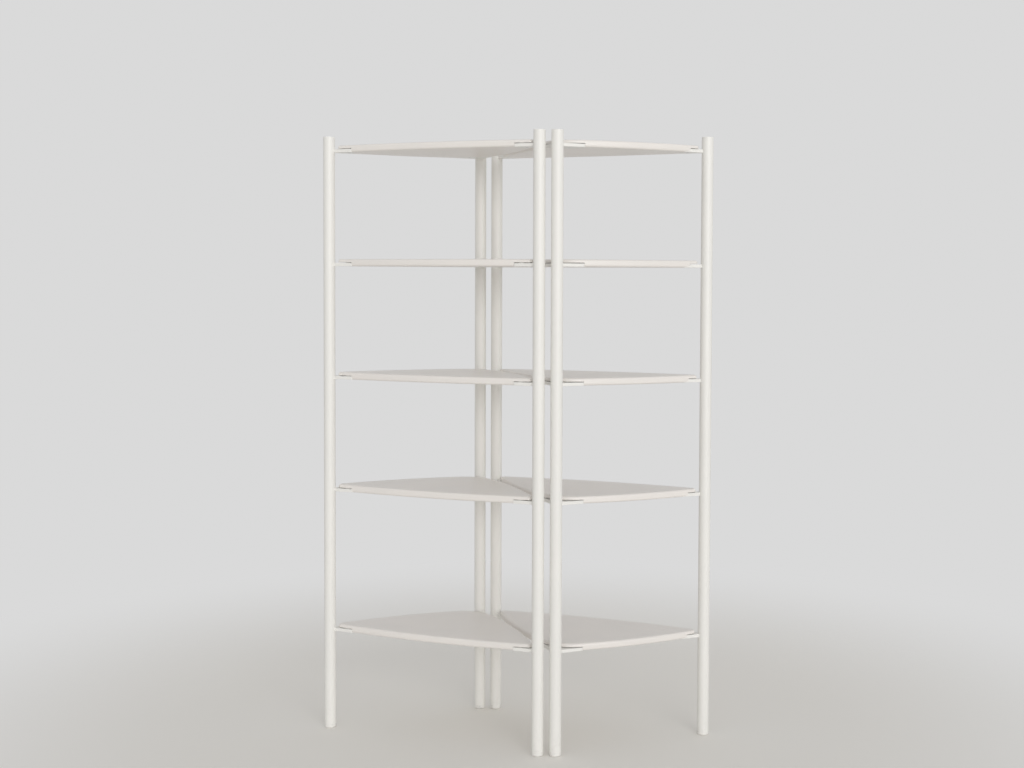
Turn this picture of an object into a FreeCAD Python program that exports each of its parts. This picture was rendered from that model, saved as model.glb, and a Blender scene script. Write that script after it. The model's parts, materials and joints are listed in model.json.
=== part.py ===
import FreeCAD, Part
import Sketcher
import math
import os

# A pair of three-post shelf units, each a right triangle in plan, standing side by side.
# Millimetres, +Z up, floor at Z = 0, the pair's middle on the Z axis.

# Driving sizes, in millimetres and degrees
SIZES = {
    # posts, stock round tube
    "unit_height": 1850.0,
    "post_diameter": 36.0,
    "post_wall": 2.0,
    "leg_spacing": 500.0,
    "cap_thickness": 4.0,
    # how the two units stand
    "unit_gap": 12.0,
    "unit_stagger": 22.0,
    # levelling feet
    "foot_height": 12.0,
    "foot_chamfer": 2.5,
    "foot_seam": 0.8,
    "stud_diameter": 10.0,
    "stud_length": 30.0,
    "stud_clearance": 0.05,
    "insert_length": 22.0,
    # shelves
    "shelf_thickness": 22.0,
    "lowest_shelf_height": 306.0,
    "lower_pitch": 441.0,
    "top_shelf_drop": 48.0,
    "leg_edge_radius": 1200.0,
    "long_edge_radius": 2400.0,
    "shelf_post_gap": 11.0,
    "acute_corner_radius": 9.0,
    "right_corner_radius": 100.0,
    "shelf_top_round": 7.0,
    "shelf_bottom_round": 7.0,
    # corner brackets, flush in the shelves' undersides
    "bracket_thickness": 10.0,
    "acute_bracket_inset": 15.5,
    "right_bracket_inset": 11.0,
    "acute_bracket_reach": 81.0,
    "right_bracket_reach": 87.0,
    "acute_bracket_flare": 22.5,
    "right_bracket_flare": 45.0,
    "bracket_end_round": 4.0,
    "bracket_edge_break": 1.0,
    "rebate_clearance": 1.0,
    "rebate_mouth": 71.0,
    "shadow_gap": 2.0,
    "spacer_radius": 9.0,
    # countersunk screws, from below through the brackets into the shelves
    "screw_diameter": 4.5,
    "screw_head_diameter": 9.0,
    "screw_cover": 3.0,
    "screw_tip": 2.0,
    "screw_clearance": 0.25,
    "screw_distance": 62.0,
    "screw_spacing": 22.0,
    "pilot_clearance": 0.05,
    "socket_width": 3.0,
    "socket_depth": 1.8,
}

SHEET = "Sizes"
LEVELS = (1, 2, 3, 4, 5)
SOCKET_SIDES = 6


class Size:
    """A number of the sheet, or one worked out from such numbers, with its formula as text."""

    def __init__(self, value, text):
        self.value = value
        self.text = text

    def _with(self, other, sign, result):
        other_text = other.text if isinstance(other, Size) else repr(other)
        return Size(result, f"({self.text} {sign} {other_text})")

    def __add__(self, other):
        return self._with(other, "+", self.value + number(other))

    def __sub__(self, other):
        return self._with(other, "-", self.value - number(other))

    def __mul__(self, other):
        return self._with(other, "*", self.value * number(other))

    def __truediv__(self, other):
        return self._with(other, "/", self.value / number(other))

    def __neg__(self):
        return Size(-self.value, f"(-1 * {self.text})")


def number(size):
    """The plain number of a Size, or of a number."""
    return size.value if isinstance(size, Size) else size


doc = FreeCAD.newDocument("shelf_units")
sheet = doc.addObject("Spreadsheet::Sheet", SHEET)
for row, (alias, amount) in enumerate(SIZES.items(), start=1):
    sheet.set(f"A{row}", alias)
    sheet.set(f"B{row}", str(amount))
    sheet.setAlias(f"B{row}", alias)
doc.recompute()

S = {alias: Size(amount, f"{SHEET}.{alias}") for alias, amount in SIZES.items()}
NONE = Size(0.0, "0")
ROOT_TWO = Size(math.sqrt(2), "sqrt(2)")

# Values worked out from the driving sizes
post_radius = S["post_diameter"] / 2
bore_radius = post_radius - S["post_wall"]
post_length = S["unit_height"] - S["foot_height"]
stud_radius = S["stud_diameter"] / 2
screw_radius = S["screw_diameter"] / 2
screw_head_radius = S["screw_head_diameter"] / 2
screw_length = S["shelf_thickness"] - S["screw_cover"]
rebate_depth = S["bracket_thickness"] + S["shadow_gap"]
unit_spacing = S["post_diameter"] + S["unit_gap"]
second_shelf_height = S["lowest_shelf_height"] + S["lower_pitch"]
top_shelf_height = S["unit_height"] - S["top_shelf_drop"]
upper_pitch = (top_shelf_height - second_shelf_height) / (LEVELS[-1] - LEVELS[1])


def shelf_height(level):
    """Height of a shelf's underside above the floor: from the second shelf up the steps are equal."""
    if level == LEVELS[0]:
        return S["lowest_shelf_height"]
    return second_shelf_height + upper_pitch * (level - LEVELS[1])


class Corner:
    """One post's place in a unit, seen from the right-angled corner, and its bracket's sizes."""

    def __init__(self, x, y, bisector, kind):
        self.x = x
        self.y = y
        self.bisector = bisector
        self.inset = S[f"{kind}_bracket_inset"]
        self.reach = S[f"{kind}_bracket_reach"]
        self.flare = S[f"{kind}_bracket_flare"]
        self.round = S[f"{kind}_corner_radius"]


# In a unit's own frame the legs run along -X and -Y from the right-angled corner
CORNERS = {
    "right": Corner(NONE, NONE, 225.0, "right"),
    "west": Corner(-S["leg_spacing"], NONE, -22.5, "acute"),
    "south": Corner(NONE, -S["leg_spacing"], 112.5, "acute"),
}
# Bearings of the legs from the two acute corners
LEG_BEARINGS = {"west": 0.0, "south": 90.0}


class Unit:
    """One unit: where its right-angled corner stands, its turn, and its posts' names."""

    def __init__(self, name, side, turn, posts):
        self.name = name
        self.turn = turn
        self.side = side
        self.x = unit_spacing / 2 * side
        self.y = (S["leg_spacing"] + S["unit_stagger"]) / 2 * -side
        self.posts = posts

    def point(self, corner):
        """The place of one corner's post in the pair's frame."""
        return self.x + corner.x * -self.side, self.y + corner.y * -self.side


UNITS = [
    Unit("left", -1, 0.0, {"rear": "right", "outer": "west", "front": "south"}),
    Unit("right", 1, 180.0, {"front": "right", "outer": "west", "rear": "south"}),
]


# Document helpers
def bind(thing, name, size):
    """Tie one property to the sheet."""
    thing.setExpression(name, size.text)


def new_body(label):
    """An empty body whose label names its node."""
    body = doc.addObject("PartDesign::Body", label)
    body.Label = label
    return body


def put(body, x, y, z, turn=0.0):
    """Stand a body at a place that follows the sheet, turned about the vertical."""
    vertical = FreeCAD.Vector(0, 0, 1)
    body.Placement = FreeCAD.Placement(FreeCAD.Vector(), FreeCAD.Rotation(vertical, turn))
    bind(body, "Placement.Base.x", x)
    bind(body, "Placement.Base.y", y)
    bind(body, "Placement.Base.z", z)


def new_sketch(body, name, plane="XY_Plane"):
    """A sketch on one of the body's own origin planes."""
    sketch = body.newObject("Sketcher::SketchObject", f"{body.Name}_{name}")
    support = [feature for feature in body.Origin.OriginFeatures if feature.Role == plane][0]
    sketch.AttachmentSupport = (support, [""])
    sketch.MapMode = "FlatFace"
    return sketch


def new_feature(body, kind, name):
    """A feature of a body, named after the body."""
    return body.newObject(f"PartDesign::{kind}", f"{body.Name}_{name}")


def dimension(sketch, size, *constraint):
    """A dimension of a sketch that follows the sheet."""
    index = sketch.addConstraint(Sketcher.Constraint(*constraint, size.value))
    bind(sketch, f"Constraints[{index}]", size)


def pin_point(sketch, shape, point, x, y):
    """Hold a point of a sketch at a place measured from the sketch's origin."""
    for kind, size, axis in (("DistanceX", x, -2), ("DistanceY", y, -1)):
        if size.value == 0:
            sketch.addConstraint(Sketcher.Constraint("PointOnObject", shape, point, axis))
        elif size.value > 0:
            dimension(sketch, size, kind, -1, 1, shape, point)
        else:
            dimension(sketch, -size, kind, shape, point, -1, 1)


def hold_line(sketch, line, offset):
    """Hold a line at a distance from the sketch's origin, on the side where it is drawn."""
    if offset.value == 0:
        sketch.addConstraint(Sketcher.Constraint("PointOnObject", -1, 1, line))
    else:
        dimension(sketch, offset if offset.value > 0 else -offset, "Distance", -1, 1, line)


def draw_circle(sketch, radius, x=NONE, y=NONE):
    """A circle of a given radius at a given place."""
    centre = FreeCAD.Vector(x.value, y.value, 0)
    circle = sketch.addGeometry(Part.Circle(centre, FreeCAD.Vector(0, 0, 1), radius.value), False)
    pin_point(sketch, circle, 3, x, y)
    dimension(sketch, radius, "Radius", circle)


def draw_polygon(sketch, points):
    """A closed outline of straight lines through points, each held by its two coordinates."""
    corners = [FreeCAD.Vector(x.value, y.value, 0) for x, y in points]
    lines = []
    for start, end in zip(corners, corners[1:] + corners[:1]):
        lines.append(sketch.addGeometry(Part.LineSegment(start, end), False))
    for line, following in zip(lines, lines[1:] + lines[:1]):
        sketch.addConstraint(Sketcher.Constraint("Coincident", line, 2, following, 1))
    for line, (x, y) in zip(lines, points):
        pin_point(sketch, line, 1, x, y)


def arc_between(centre, start, end):
    """The arc from start to end, anticlockwise about its centre."""
    first = math.atan2(start.y - centre.y, start.x - centre.x)
    last = math.atan2(end.y - centre.y, end.x - centre.x)
    if last < first:
        last += 2 * math.pi
    circle = Part.Circle(centre, FreeCAD.Vector(0, 0, 1), centre.distanceToPoint(start))
    return Part.ArcOfCircle(circle, first, last)


def pad(body, sketch, length, name="pad"):
    """Raise a sketch upwards by a length."""
    feature = new_feature(body, "Pad", name)
    feature.Profile = sketch
    bind(feature, "Length", length)
    doc.recompute([sketch, feature])
    return feature


def revolve(body, sketch):
    """Turn a sketch once round its vertical axis."""
    feature = new_feature(body, "Revolution", "turned")
    feature.Profile = sketch
    feature.ReferenceAxis = (sketch, ["V_Axis"])
    feature.Angle = 360.0
    doc.recompute([sketch, feature])
    return feature


def cut_upwards(body, sketch, depth, name):
    """Cut a sketch into the body upwards from the sketch's plane, and see that it cuts."""
    volume_before = body.Tip.Shape.Volume
    feature = new_feature(body, "Pocket", name)
    feature.Profile = sketch
    feature.Reversed = True
    bind(feature, "Length", depth)
    doc.recompute([sketch, feature])
    if feature.Shape.Volume > volume_before - NEAR:
        raise RuntimeError(f"{feature.Name} cuts nothing")
    return feature


def edge_names(feature, wanted):
    """Names of a feature's edges for which the test holds."""
    return [f"Edge{i}" for i, edge in enumerate(feature.Shape.Edges, start=1) if wanted(edge)]


def dress(body, kind, name, size, wanted):
    """Round or chamfer the edges of the body's last feature for which the test holds."""
    base = body.Tip
    feature = new_feature(body, kind, name)
    feature.Base = (base, edge_names(base, wanted))
    bind(feature, "Radius" if kind == "Fillet" else "Size", size)
    doc.recompute([feature])
    return feature


# Tests that pick edges
NEAR = 1e-4


def is_level(edge, height):
    """Whether an edge lies flat at a height."""
    return abs(edge.BoundBox.ZMin - height) < NEAR and abs(edge.BoundBox.ZMax - height) < NEAR


def is_upright(edge):
    """Whether an edge stands straight up."""
    return edge.BoundBox.XLength < NEAR and edge.BoundBox.YLength < NEAR


def distance_from_axis(edge):
    """How far the middle of an edge lies from the body's own vertical axis."""
    middle = edge.valueAt((edge.FirstParameter + edge.LastParameter) / 2)
    return math.hypot(middle.x, middle.y)


# Posts, caps and feet
def make_tube(label, outer, inner, length):
    """A straight round tube that stands on its own XY plane."""
    body = new_body(label)
    sketch = new_sketch(body, "ring")
    draw_circle(sketch, outer)
    draw_circle(sketch, inner)
    pad(body, sketch, length)
    return body


def make_cap(label):
    """A flat disc that closes a post's upper end, level with its rim."""
    body = new_body(label)
    sketch = new_sketch(body, "disc")
    draw_circle(sketch, bore_radius)
    pad(body, sketch, S["cap_thickness"])
    return body


def make_foot(label):
    """A levelling foot: a round pad as wide as the post, with a stud that stands up from it."""
    body = new_body(label)
    sketch = new_sketch(body, "profile", "XZ_Plane")
    stud_top = S["foot_height"] + S["stud_length"]
    draw_polygon(sketch, [
        (NONE, NONE),
        (post_radius - S["foot_chamfer"], NONE),
        (post_radius, S["foot_chamfer"]),
        (post_radius, S["foot_height"] - S["foot_seam"]),
        (post_radius - S["foot_seam"], S["foot_height"]),
        (stud_radius, S["foot_height"]),
        (stud_radius, stud_top),
        (NONE, stud_top),
    ])
    revolve(body, sketch)
    return body


# Brackets
def draw_bracket(sketch, corner, clearance=NONE):
    """A bracket's outline: hollow against the post, two flared sides and a round far end."""
    hollow = post_radius
    offset = post_radius - corner.inset + clearance
    reach = corner.reach + clearance
    flare = math.radians(corner.flare.value)
    across = FreeCAD.Vector(-math.sin(flare), math.cos(flare), 0) * offset.value
    along = FreeCAD.Vector(math.cos(flare), math.sin(flare), 0)
    near = across + along * math.sqrt(hollow.value ** 2 - offset.value ** 2)
    far = across + along * math.sqrt(reach.value ** 2 - offset.value ** 2)
    near_below = FreeCAD.Vector(near.x, -near.y, 0)
    far_below = FreeCAD.Vector(far.x, -far.y, 0)
    origin = FreeCAD.Vector()
    lower = sketch.addGeometry(Part.LineSegment(near_below, far_below), False)
    end = sketch.addGeometry(arc_between(origin, far_below, far), False)
    upper = sketch.addGeometry(Part.LineSegment(near, far), False)
    saddle = sketch.addGeometry(arc_between(origin, near_below, near), False)
    joins = ((lower, 2, end, 1), (end, 2, upper, 2), (upper, 1, saddle, 2), (saddle, 1, lower, 1))
    for join in joins:
        sketch.addConstraint(Sketcher.Constraint("Coincident", *join))
    for arc, radius in ((end, reach), (saddle, hollow)):
        sketch.addConstraint(Sketcher.Constraint("Coincident", arc, 3, -1, 1))
        dimension(sketch, radius, "Radius", arc)
    turn = Size(flare, f"{corner.flare.text} * 1 deg")
    for side, angle in ((upper, turn), (lower, -turn)):
        dimension(sketch, angle, "Angle", side)
        hold_line(sketch, side, offset)


def draw_at_screws(sketch, radius):
    """Circles about a bracket's two screws, side by side across its middle line."""
    for side in (-1, 1):
        draw_circle(sketch, radius, S["screw_distance"], S["screw_spacing"] / 2 * side)


def is_far_end(corner):
    """A test for the upright edges at a bracket's far end."""
    return lambda edge: is_upright(edge) and distance_from_axis(edge) > corner.reach.value - NEAR


def make_bracket(label, corner):
    """A plate from the post to under the shelf, with a raised spacer round each countersunk hole."""
    body = new_body(label)
    outline = new_sketch(body, "outline")
    draw_bracket(outline, corner)
    pad(body, outline, S["bracket_thickness"])
    dress(body, "Fillet", "end_round", S["bracket_end_round"], is_far_end(corner))
    rim_heights = (0.0, S["bracket_thickness"].value)
    beyond_post = post_radius.value + NEAR
    dress(body, "Chamfer", "edge_break", S["bracket_edge_break"], lambda edge: (
        any(is_level(edge, height) for height in rim_heights) and distance_from_axis(edge) > beyond_post))
    spacers = new_sketch(body, "spacer_outline")
    bind(spacers, "AttachmentOffset.Base.z", S["bracket_thickness"])
    draw_at_screws(spacers, S["spacer_radius"])
    pad(body, spacers, S["shadow_gap"], "spacers")
    holes = new_sketch(body, "screw_holes")
    hole_radius = screw_radius + S["screw_clearance"]
    draw_at_screws(holes, hole_radius)
    cut_upwards(body, holes, rebate_depth, "holes")
    dress(body, "Chamfer", "countersinks", screw_head_radius - screw_radius, lambda edge: (
        is_level(edge, 0.0) and isinstance(edge.Curve, Part.Circle)
        and abs(edge.Curve.Radius - hole_radius.value) < NEAR))
    return body


# Shelves
def circle_crossing(first, first_radius, second, second_radius, near):
    """The crossing of two circles that lies nearest to a given point."""
    between = second - first
    gap = between.Length
    along = (gap ** 2 + first_radius ** 2 - second_radius ** 2) / (2 * gap)
    rise = math.sqrt(first_radius ** 2 - along ** 2)
    foot = first + between * (along / gap)
    across = FreeCAD.Vector(-between.y, between.x, 0) * (rise / gap)
    return min((foot + across, foot - across), key=near.distanceToPoint)


def draw_shelf(sketch):
    """A shelf's outline: three outward-bowed arcs, each level with its posts' outer faces at the middle."""
    half = S["leg_spacing"] / 2
    leg_centre = post_radius - S["leg_edge_radius"]
    long_centre = (S["long_edge_radius"] - post_radius) / ROOT_TWO - half
    edges = [
        (long_centre, long_centre, S["long_edge_radius"]),
        (leg_centre, -half, S["leg_edge_radius"]),
        (-half, leg_centre, S["leg_edge_radius"]),
    ]
    ends = [CORNERS["south"], CORNERS["right"], CORNERS["west"]]
    centres = [FreeCAD.Vector(x.value, y.value, 0) for x, y, radius in edges]
    tips = []
    for i, corner in enumerate(ends):
        post = FreeCAD.Vector(corner.x.value, corner.y.value, 0)
        after = (i + 1) % len(edges)
        tips.append(circle_crossing(
            centres[i], edges[i][2].value, centres[after], edges[after][2].value, post))
    arcs = []
    for i, (x, y, radius) in enumerate(edges):
        arcs.append(sketch.addGeometry(arc_between(centres[i], tips[i - 1], tips[i]), False))
    for arc, following in zip(arcs, arcs[1:] + arcs[:1]):
        sketch.addConstraint(Sketcher.Constraint("Coincident", arc, 2, following, 1))
    for arc, (x, y, radius) in zip(arcs, edges):
        pin_point(sketch, arc, 3, x, y)
        dimension(sketch, radius, "Radius", arc)


def is_near_corner(corner):
    """A test for a shelf's upright edge at one corner."""
    post = FreeCAD.Vector(corner.x.value, corner.y.value, 0)
    within = S["leg_spacing"].value / 4

    def wanted(edge):
        middle = edge.CenterOfMass
        return is_upright(edge) and math.hypot(middle.x - post.x, middle.y - post.y) < within

    return wanted


def corner_sketch(body, name, corner, bearing):
    """A sketch on the body's XY plane, moved to a corner's post and turned to a bearing."""
    sketch = new_sketch(body, name)
    vertical = FreeCAD.Vector(0, 0, 1)
    sketch.AttachmentOffset = FreeCAD.Placement(
        FreeCAD.Vector(), FreeCAD.Rotation(vertical, bearing))
    bind(sketch, "AttachmentOffset.Base.x", corner.x)
    bind(sketch, "AttachmentOffset.Base.y", corner.y)
    return sketch


def trim_tip(body, name, corner):
    """Cut a pointed corner off square to its bisector: short of the post, and at least its radius deep."""
    outline = corner_sketch(body, f"{name}_tip_outline", corner, corner.bisector)
    turn = math.radians(corner.bisector)
    inwards = FreeCAD.Vector(math.cos(turn), math.sin(turn), 0)
    post = FreeCAD.Vector(corner.x.value, corner.y.value, 0)
    tip = min((vertex.Point - post).dot(inwards) for vertex in body.Tip.Shape.Vertexes)
    end = max(post_radius + S["shelf_post_gap"], corner.round + tip, key=number)
    side = S["post_diameter"]
    draw_polygon(outline, [(-end, -side), (end, -side), (end, side), (-end, side)])
    cut_upwards(body, outline, S["shelf_thickness"], f"{name}_trim")


def open_mouth(body, name, corner):
    """Cut a rebate's mouth through the leg edge, up to where the wall beside it is thick enough to stand."""
    outline = corner_sketch(body, f"{name}_mouth_outline", corner, LEG_BEARINGS[name])
    side = post_radius
    end = S["rebate_mouth"]
    draw_polygon(outline, [(NONE, -side), (end, -side), (end, side), (NONE, side)])
    cut_upwards(body, outline, rebate_depth, f"{name}_mouth")


def make_shelf(label):
    """A rounded panel with a rebate and two pilot holes for the bracket at each corner."""
    body = new_body(label)
    outline = new_sketch(body, "outline")
    draw_shelf(outline)
    pad(body, outline, S["shelf_thickness"])
    for name in LEG_BEARINGS:
        trim_tip(body, name, CORNERS[name])
    for name, corner in CORNERS.items():
        dress(body, "Fillet", f"{name}_corner", corner.round, is_near_corner(corner))
    thickness = S["shelf_thickness"].value
    dress(body, "Fillet", "top_round", S["shelf_top_round"], lambda edge: is_level(edge, thickness))
    dress(body, "Fillet", "bottom_round", S["shelf_bottom_round"], lambda edge: is_level(edge, 0.0))
    for name, corner in CORNERS.items():
        if name in LEG_BEARINGS:
            open_mouth(body, name, corner)
        rebate = corner_sketch(body, f"{name}_rebate_outline", corner, corner.bisector)
        draw_bracket(rebate, corner, S["rebate_clearance"])
        cut_upwards(body, rebate, rebate_depth, f"{name}_rebate")
        pilots = corner_sketch(body, f"{name}_pilot_outline", corner, corner.bisector)
        draw_at_screws(pilots, screw_radius + S["pilot_clearance"])
        cut_upwards(body, pilots, screw_length + S["pilot_clearance"], f"{name}_pilots")
    return body


# Screws
def make_screw(label):
    """A countersunk wood screw, head down on its own XY plane, with a hexagon socket."""
    body = new_body(label)
    profile = new_sketch(body, "profile", "XZ_Plane")
    head_height = screw_head_radius - screw_radius
    draw_polygon(profile, [
        (NONE, NONE),
        (screw_head_radius, NONE),
        (screw_radius, head_height),
        (screw_radius, screw_length - S["screw_tip"]),
        (NONE, screw_length),
    ])
    revolve(body, profile)
    socket = new_sketch(body, "socket_outline")
    corner_radius = S["socket_width"] / Size(math.sqrt(3), "sqrt(3)")
    corners = []
    for i in range(SOCKET_SIDES):
        angle = (i + 0.5) * 360 / SOCKET_SIDES
        radians = math.radians(angle)
        corners.append((
            corner_radius * Size(math.cos(radians), f"cos({angle} deg)"),
            corner_radius * Size(math.sin(radians), f"sin({angle} deg)")))
    draw_polygon(socket, corners)
    cut_upwards(body, socket, S["socket_depth"], "socket")
    return body


def make_group(label, master, places):
    """One node of equal pieces: the master piece set down at each place."""
    group = doc.addObject("Part::Feature", label)
    group.Label = label
    pieces = []
    for place in places:
        piece = master.Shape.copy()
        piece.Placement = place
        pieces.append(piece)
    group.Shape = Part.makeCompound(pieces)
    group.Placement = FreeCAD.Placement()
    return group


# The pieces of the pair
nodes = []
insert_places = []
screw_places = []
UPRIGHT = FreeCAD.Rotation()

for unit in UNITS:
    for place, kind in unit.posts.items():
        corner = CORNERS[kind]
        x, y = unit.point(corner)
        name = f"{unit.name}_{place}"
        turn = unit.turn + corner.bisector

        post = make_tube(f"post_{name}", post_radius, bore_radius, post_length)
        put(post, x, y, S["foot_height"])
        cap = make_cap(f"cap_{name}")
        put(cap, x, y, S["unit_height"] - S["cap_thickness"])
        foot = make_foot(f"foot_{name}")
        put(foot, x, y, NONE)
        nodes += [post, cap, foot]
        insert_places.append(FreeCAD.Placement(
            FreeCAD.Vector(x.value, y.value, S["foot_height"].value), UPRIGHT))

        for level in LEVELS:
            bracket = make_bracket(f"bracket_{name}_{level}", corner)
            put(bracket, x, y, shelf_height(level), turn)
            nodes.append(bracket)
            turned = FreeCAD.Rotation(FreeCAD.Vector(0, 0, 1), turn)
            stand = FreeCAD.Vector(x.value, y.value, shelf_height(level).value)
            for side in (-1, 1):
                hole = FreeCAD.Vector(S["screw_distance"].value, S["screw_spacing"].value / 2 * side, 0)
                screw_places.append(FreeCAD.Placement(stand + turned.multVec(hole), turned))

    for level in LEVELS:
        shelf = make_shelf(f"shelf_{unit.name}_{level}")
        put(shelf, unit.x, unit.y, shelf_height(level), unit.turn)
        nodes.append(shelf)

insert = make_tube("foot_insert", bore_radius, stud_radius + S["stud_clearance"], S["insert_length"])
screw = make_screw("shelf_screw")
doc.recompute()
nodes.append(make_group("foot_inserts", insert, insert_places))
nodes.append(make_group("shelf_screws", screw, screw_places))
doc.recompute()

# Every object is sound before anything is written
for thing in doc.Objects:
    if "Invalid" in thing.State or "Error" in thing.State:
        raise RuntimeError(f"{thing.Name} failed: {thing.State}")
for node in nodes:
    if node.Shape.isNull() or not node.Shape.isValid():
        raise RuntimeError(f"{node.Label} has no sound shape")

os.makedirs("parts", exist_ok=True)
for node in nodes:
    node.Shape.exportStep(f"parts/{node.Label}.step")
print(f"{len(nodes)} nodes, {sum(len(node.Shape.Solids) for node in nodes)} solids")
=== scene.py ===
"""Looks of two equal triangular shelf units that stand side by side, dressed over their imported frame."""

import json
import logging
import math
from dataclasses import dataclass
from enum import Enum

import bpy
import numpy as np
from bpy.types import Material, Mesh, Node, NodeOutputs, NodeSocket, NodeTree, Object
from mathutils import Matrix, Vector


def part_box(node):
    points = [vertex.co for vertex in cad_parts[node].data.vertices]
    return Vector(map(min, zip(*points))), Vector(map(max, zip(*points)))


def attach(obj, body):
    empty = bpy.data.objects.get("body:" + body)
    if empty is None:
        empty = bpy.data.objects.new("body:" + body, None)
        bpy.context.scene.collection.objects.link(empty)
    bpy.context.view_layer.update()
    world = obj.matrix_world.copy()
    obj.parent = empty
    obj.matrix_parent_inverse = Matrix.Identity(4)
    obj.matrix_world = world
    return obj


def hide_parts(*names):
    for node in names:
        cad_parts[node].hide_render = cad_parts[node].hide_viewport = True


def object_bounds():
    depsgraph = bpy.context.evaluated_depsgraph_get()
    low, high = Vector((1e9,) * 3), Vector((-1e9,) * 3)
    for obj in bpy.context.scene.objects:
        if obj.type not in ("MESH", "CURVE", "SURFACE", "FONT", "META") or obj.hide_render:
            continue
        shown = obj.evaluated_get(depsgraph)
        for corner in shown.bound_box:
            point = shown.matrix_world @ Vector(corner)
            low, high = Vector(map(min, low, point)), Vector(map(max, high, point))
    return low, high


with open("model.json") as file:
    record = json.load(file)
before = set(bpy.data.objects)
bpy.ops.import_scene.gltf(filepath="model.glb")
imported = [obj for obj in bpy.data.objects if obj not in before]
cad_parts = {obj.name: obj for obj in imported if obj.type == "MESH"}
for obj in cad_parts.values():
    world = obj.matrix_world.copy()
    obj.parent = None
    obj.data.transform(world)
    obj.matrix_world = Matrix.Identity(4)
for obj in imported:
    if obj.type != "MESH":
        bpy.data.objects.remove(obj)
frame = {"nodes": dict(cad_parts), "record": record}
CAD_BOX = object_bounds()

FRAME_BODY = "frame"
MM = 0.001
SHARP_ANGLE = math.radians(35.0)
EDGE_ATTRIBUTE = "edge"

Colour = tuple[float, float, float]
Place = tuple[float, float, float]
Point = tuple[float, float]
Circle = tuple[np.ndarray, float]
log = logging.getLogger("shelf_units")


class Slot(Enum):
    """The record's material slots."""

    POSTS = "post_paint"
    SHELVES = "shelf_lacquer"
    FEET = "foot_paint"
    HARDWARE = "hardware_zinc"


def link(thing: Object) -> None:
    """Puts an object into the scene."""
    bpy.context.scene.collection.objects.link(thing)


# Surfaces as arrays
@dataclass
class Surface:
    """Points of a surface and the faces between them."""

    points: np.ndarray
    faces: list[list[int]]

    def mesh(self, name: str) -> Mesh:
        """Puts the surface into a new mesh.

        Args:
            name: the mesh's name.

        Returns:
            The mesh, with its faces as the surface has them.
        """
        made = bpy.data.meshes.new(name)
        made.from_pydata(self.points.tolist(), [], self.faces)
        made.validate()
        return made

    def moved(self, place: Matrix) -> "Surface":
        """A copy of the surface, turned and set down as a matrix says."""
        turn = np.array(place.to_3x3())
        return Surface(self.points @ turn.T + np.array(place.translation), self.faces)

    def flipped(self) -> "Surface":
        """The surface mirrored in the level plane, with its faces still outwards."""
        return Surface(self.points * [1, 1, -1], [face[::-1] for face in self.faces])

    @staticmethod
    def gathered(surfaces: list["Surface"]) -> "Surface":
        """Sets several surfaces side by side.

        Args:
            surfaces: the surfaces.

        Returns:
            One surface that holds them all.
        """
        firsts = np.cumsum([0] + [len(surface.points) for surface in surfaces]).tolist()
        faces = [
            [first + index for index in face]
            for first, surface in zip(firsts, surfaces) for face in surface.faces]
        return Surface(np.concatenate([surface.points for surface in surfaces]), faces)


def grid_faces(rows: int, columns: int, close_rows: bool = False) -> np.ndarray:
    """Quads between neighbouring points of a grid whose columns run round and close on themselves.

    Args:
        rows: number of rows.
        columns: number of points in a row.
        close_rows: whether the last row also joins the first.

    Returns:
        One row of four point numbers for each quad, facing outwards where rows climb the outside
        and columns run anticlockwise.
    """
    row = np.arange(rows if close_rows else rows - 1)[:, None]
    column = np.arange(columns)[None, :]
    following = (column + 1) % columns
    here = row * columns
    above = (row + 1) % rows * columns
    corners = (here + column, here + following, above + following, above + column)
    return np.stack(np.broadcast_arrays(*corners), axis=-1).reshape(-1, 4)


def unit_vector(vector: np.ndarray) -> np.ndarray:
    """A vector's direction, as a vector of length 1."""
    return vector / np.linalg.norm(vector)


def rounded(corners: list[Point], rounds: list[float], steps: int, support: float) -> np.ndarray:
    """A profile through corners, each rounded by an arc, with a support point beside each arc.

    An arc of radius r at a corner whose sides open by the angle w starts r / tan(w / 2) from the
    corner, and its centre lies r / sin(w / 2) from it along the bisector.

    Args:
        corners: the sharp profile's corners, in order.
        rounds: each corner's radius, 0 for a corner that stays sharp, as at an open profile's ends.
        steps: parts that each arc is divided into.
        support: distance from each end of an arc to its support point.

    Returns:
        The profile's points, one per row.
    """
    places = np.array(corners, float)
    parts = []
    for i, (place, radius) in enumerate(zip(places, rounds)):
        if radius == 0:
            parts.append(place[None])
            continue
        back = unit_vector(places[i - 1] - place)
        ahead = unit_vector(places[(i + 1) % len(places)] - place)
        half = math.acos(float(np.clip(back @ ahead, -1, 1))) / 2
        reach = radius / math.tan(half)
        bisector = unit_vector(back + ahead)
        centre = place + bisector * (radius / math.sin(half))
        sweep = math.pi / 2 - half
        along = np.linspace(-sweep, sweep, steps + 1)[:, None]
        across = unit_vector(ahead - back)
        bend = centre + radius * (np.sin(along) * across - np.cos(along) * bisector)
        parts += [place[None] + back * (reach + support), bend, place[None] + ahead * (reach + support)]
    return np.concatenate(parts)


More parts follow.
